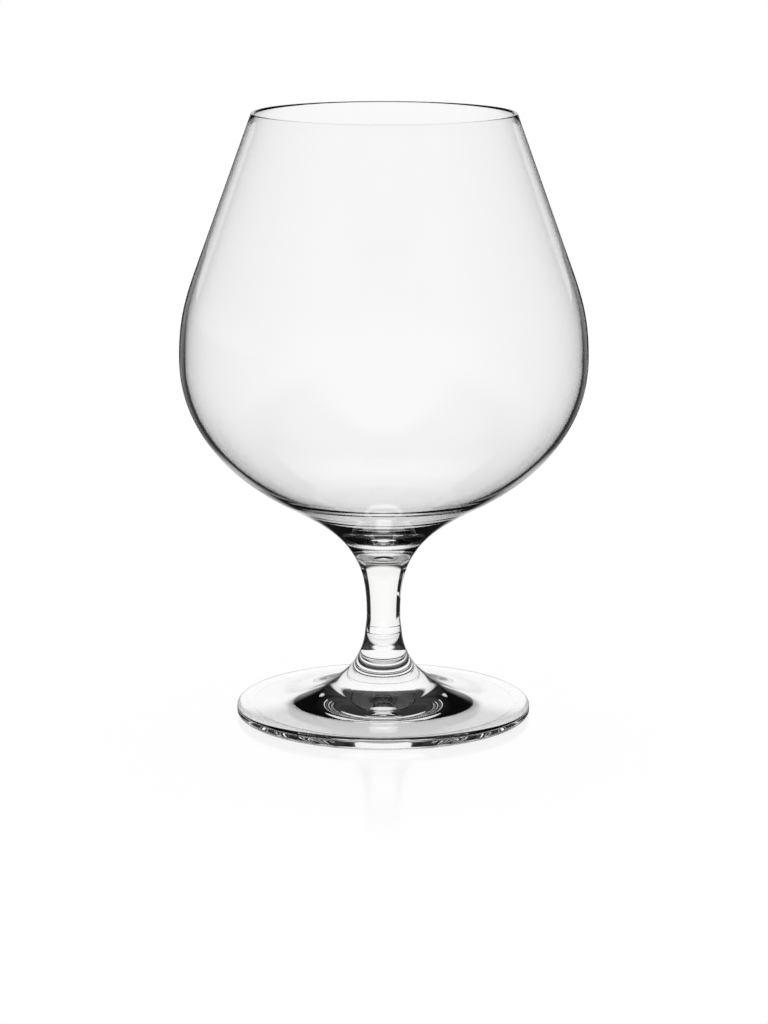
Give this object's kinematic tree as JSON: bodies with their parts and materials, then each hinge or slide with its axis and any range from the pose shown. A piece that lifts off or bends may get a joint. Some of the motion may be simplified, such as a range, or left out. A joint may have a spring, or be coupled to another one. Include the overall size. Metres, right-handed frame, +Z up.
{
  "type": "brandy snifter",
  "caption": "Brandy snifter: a clear glass bowl with a wide belly and a narrow mouth, on a short waisted stem and a round foot.",
  "frame": {"origin": "centre of the circle that the foot stands on, at table height", "axes": "+Z up along the axis of the glass, from the foot to the rim; X and Y are level and alike, as the glass is round"},
  "size_m": [0.105, 0.105, 0.1565],
  "materials": {
    "bowl_glass": "clear, fire polished",
    "stem_glass": "clear, fire polished",
    "foot_glass": "clear, fire polished"
  },
  "bodies": {
    "root": {"bowl": "bowl_glass", "stem": "stem_glass", "foot": "foot_glass"}
  },
  "joints": []
}
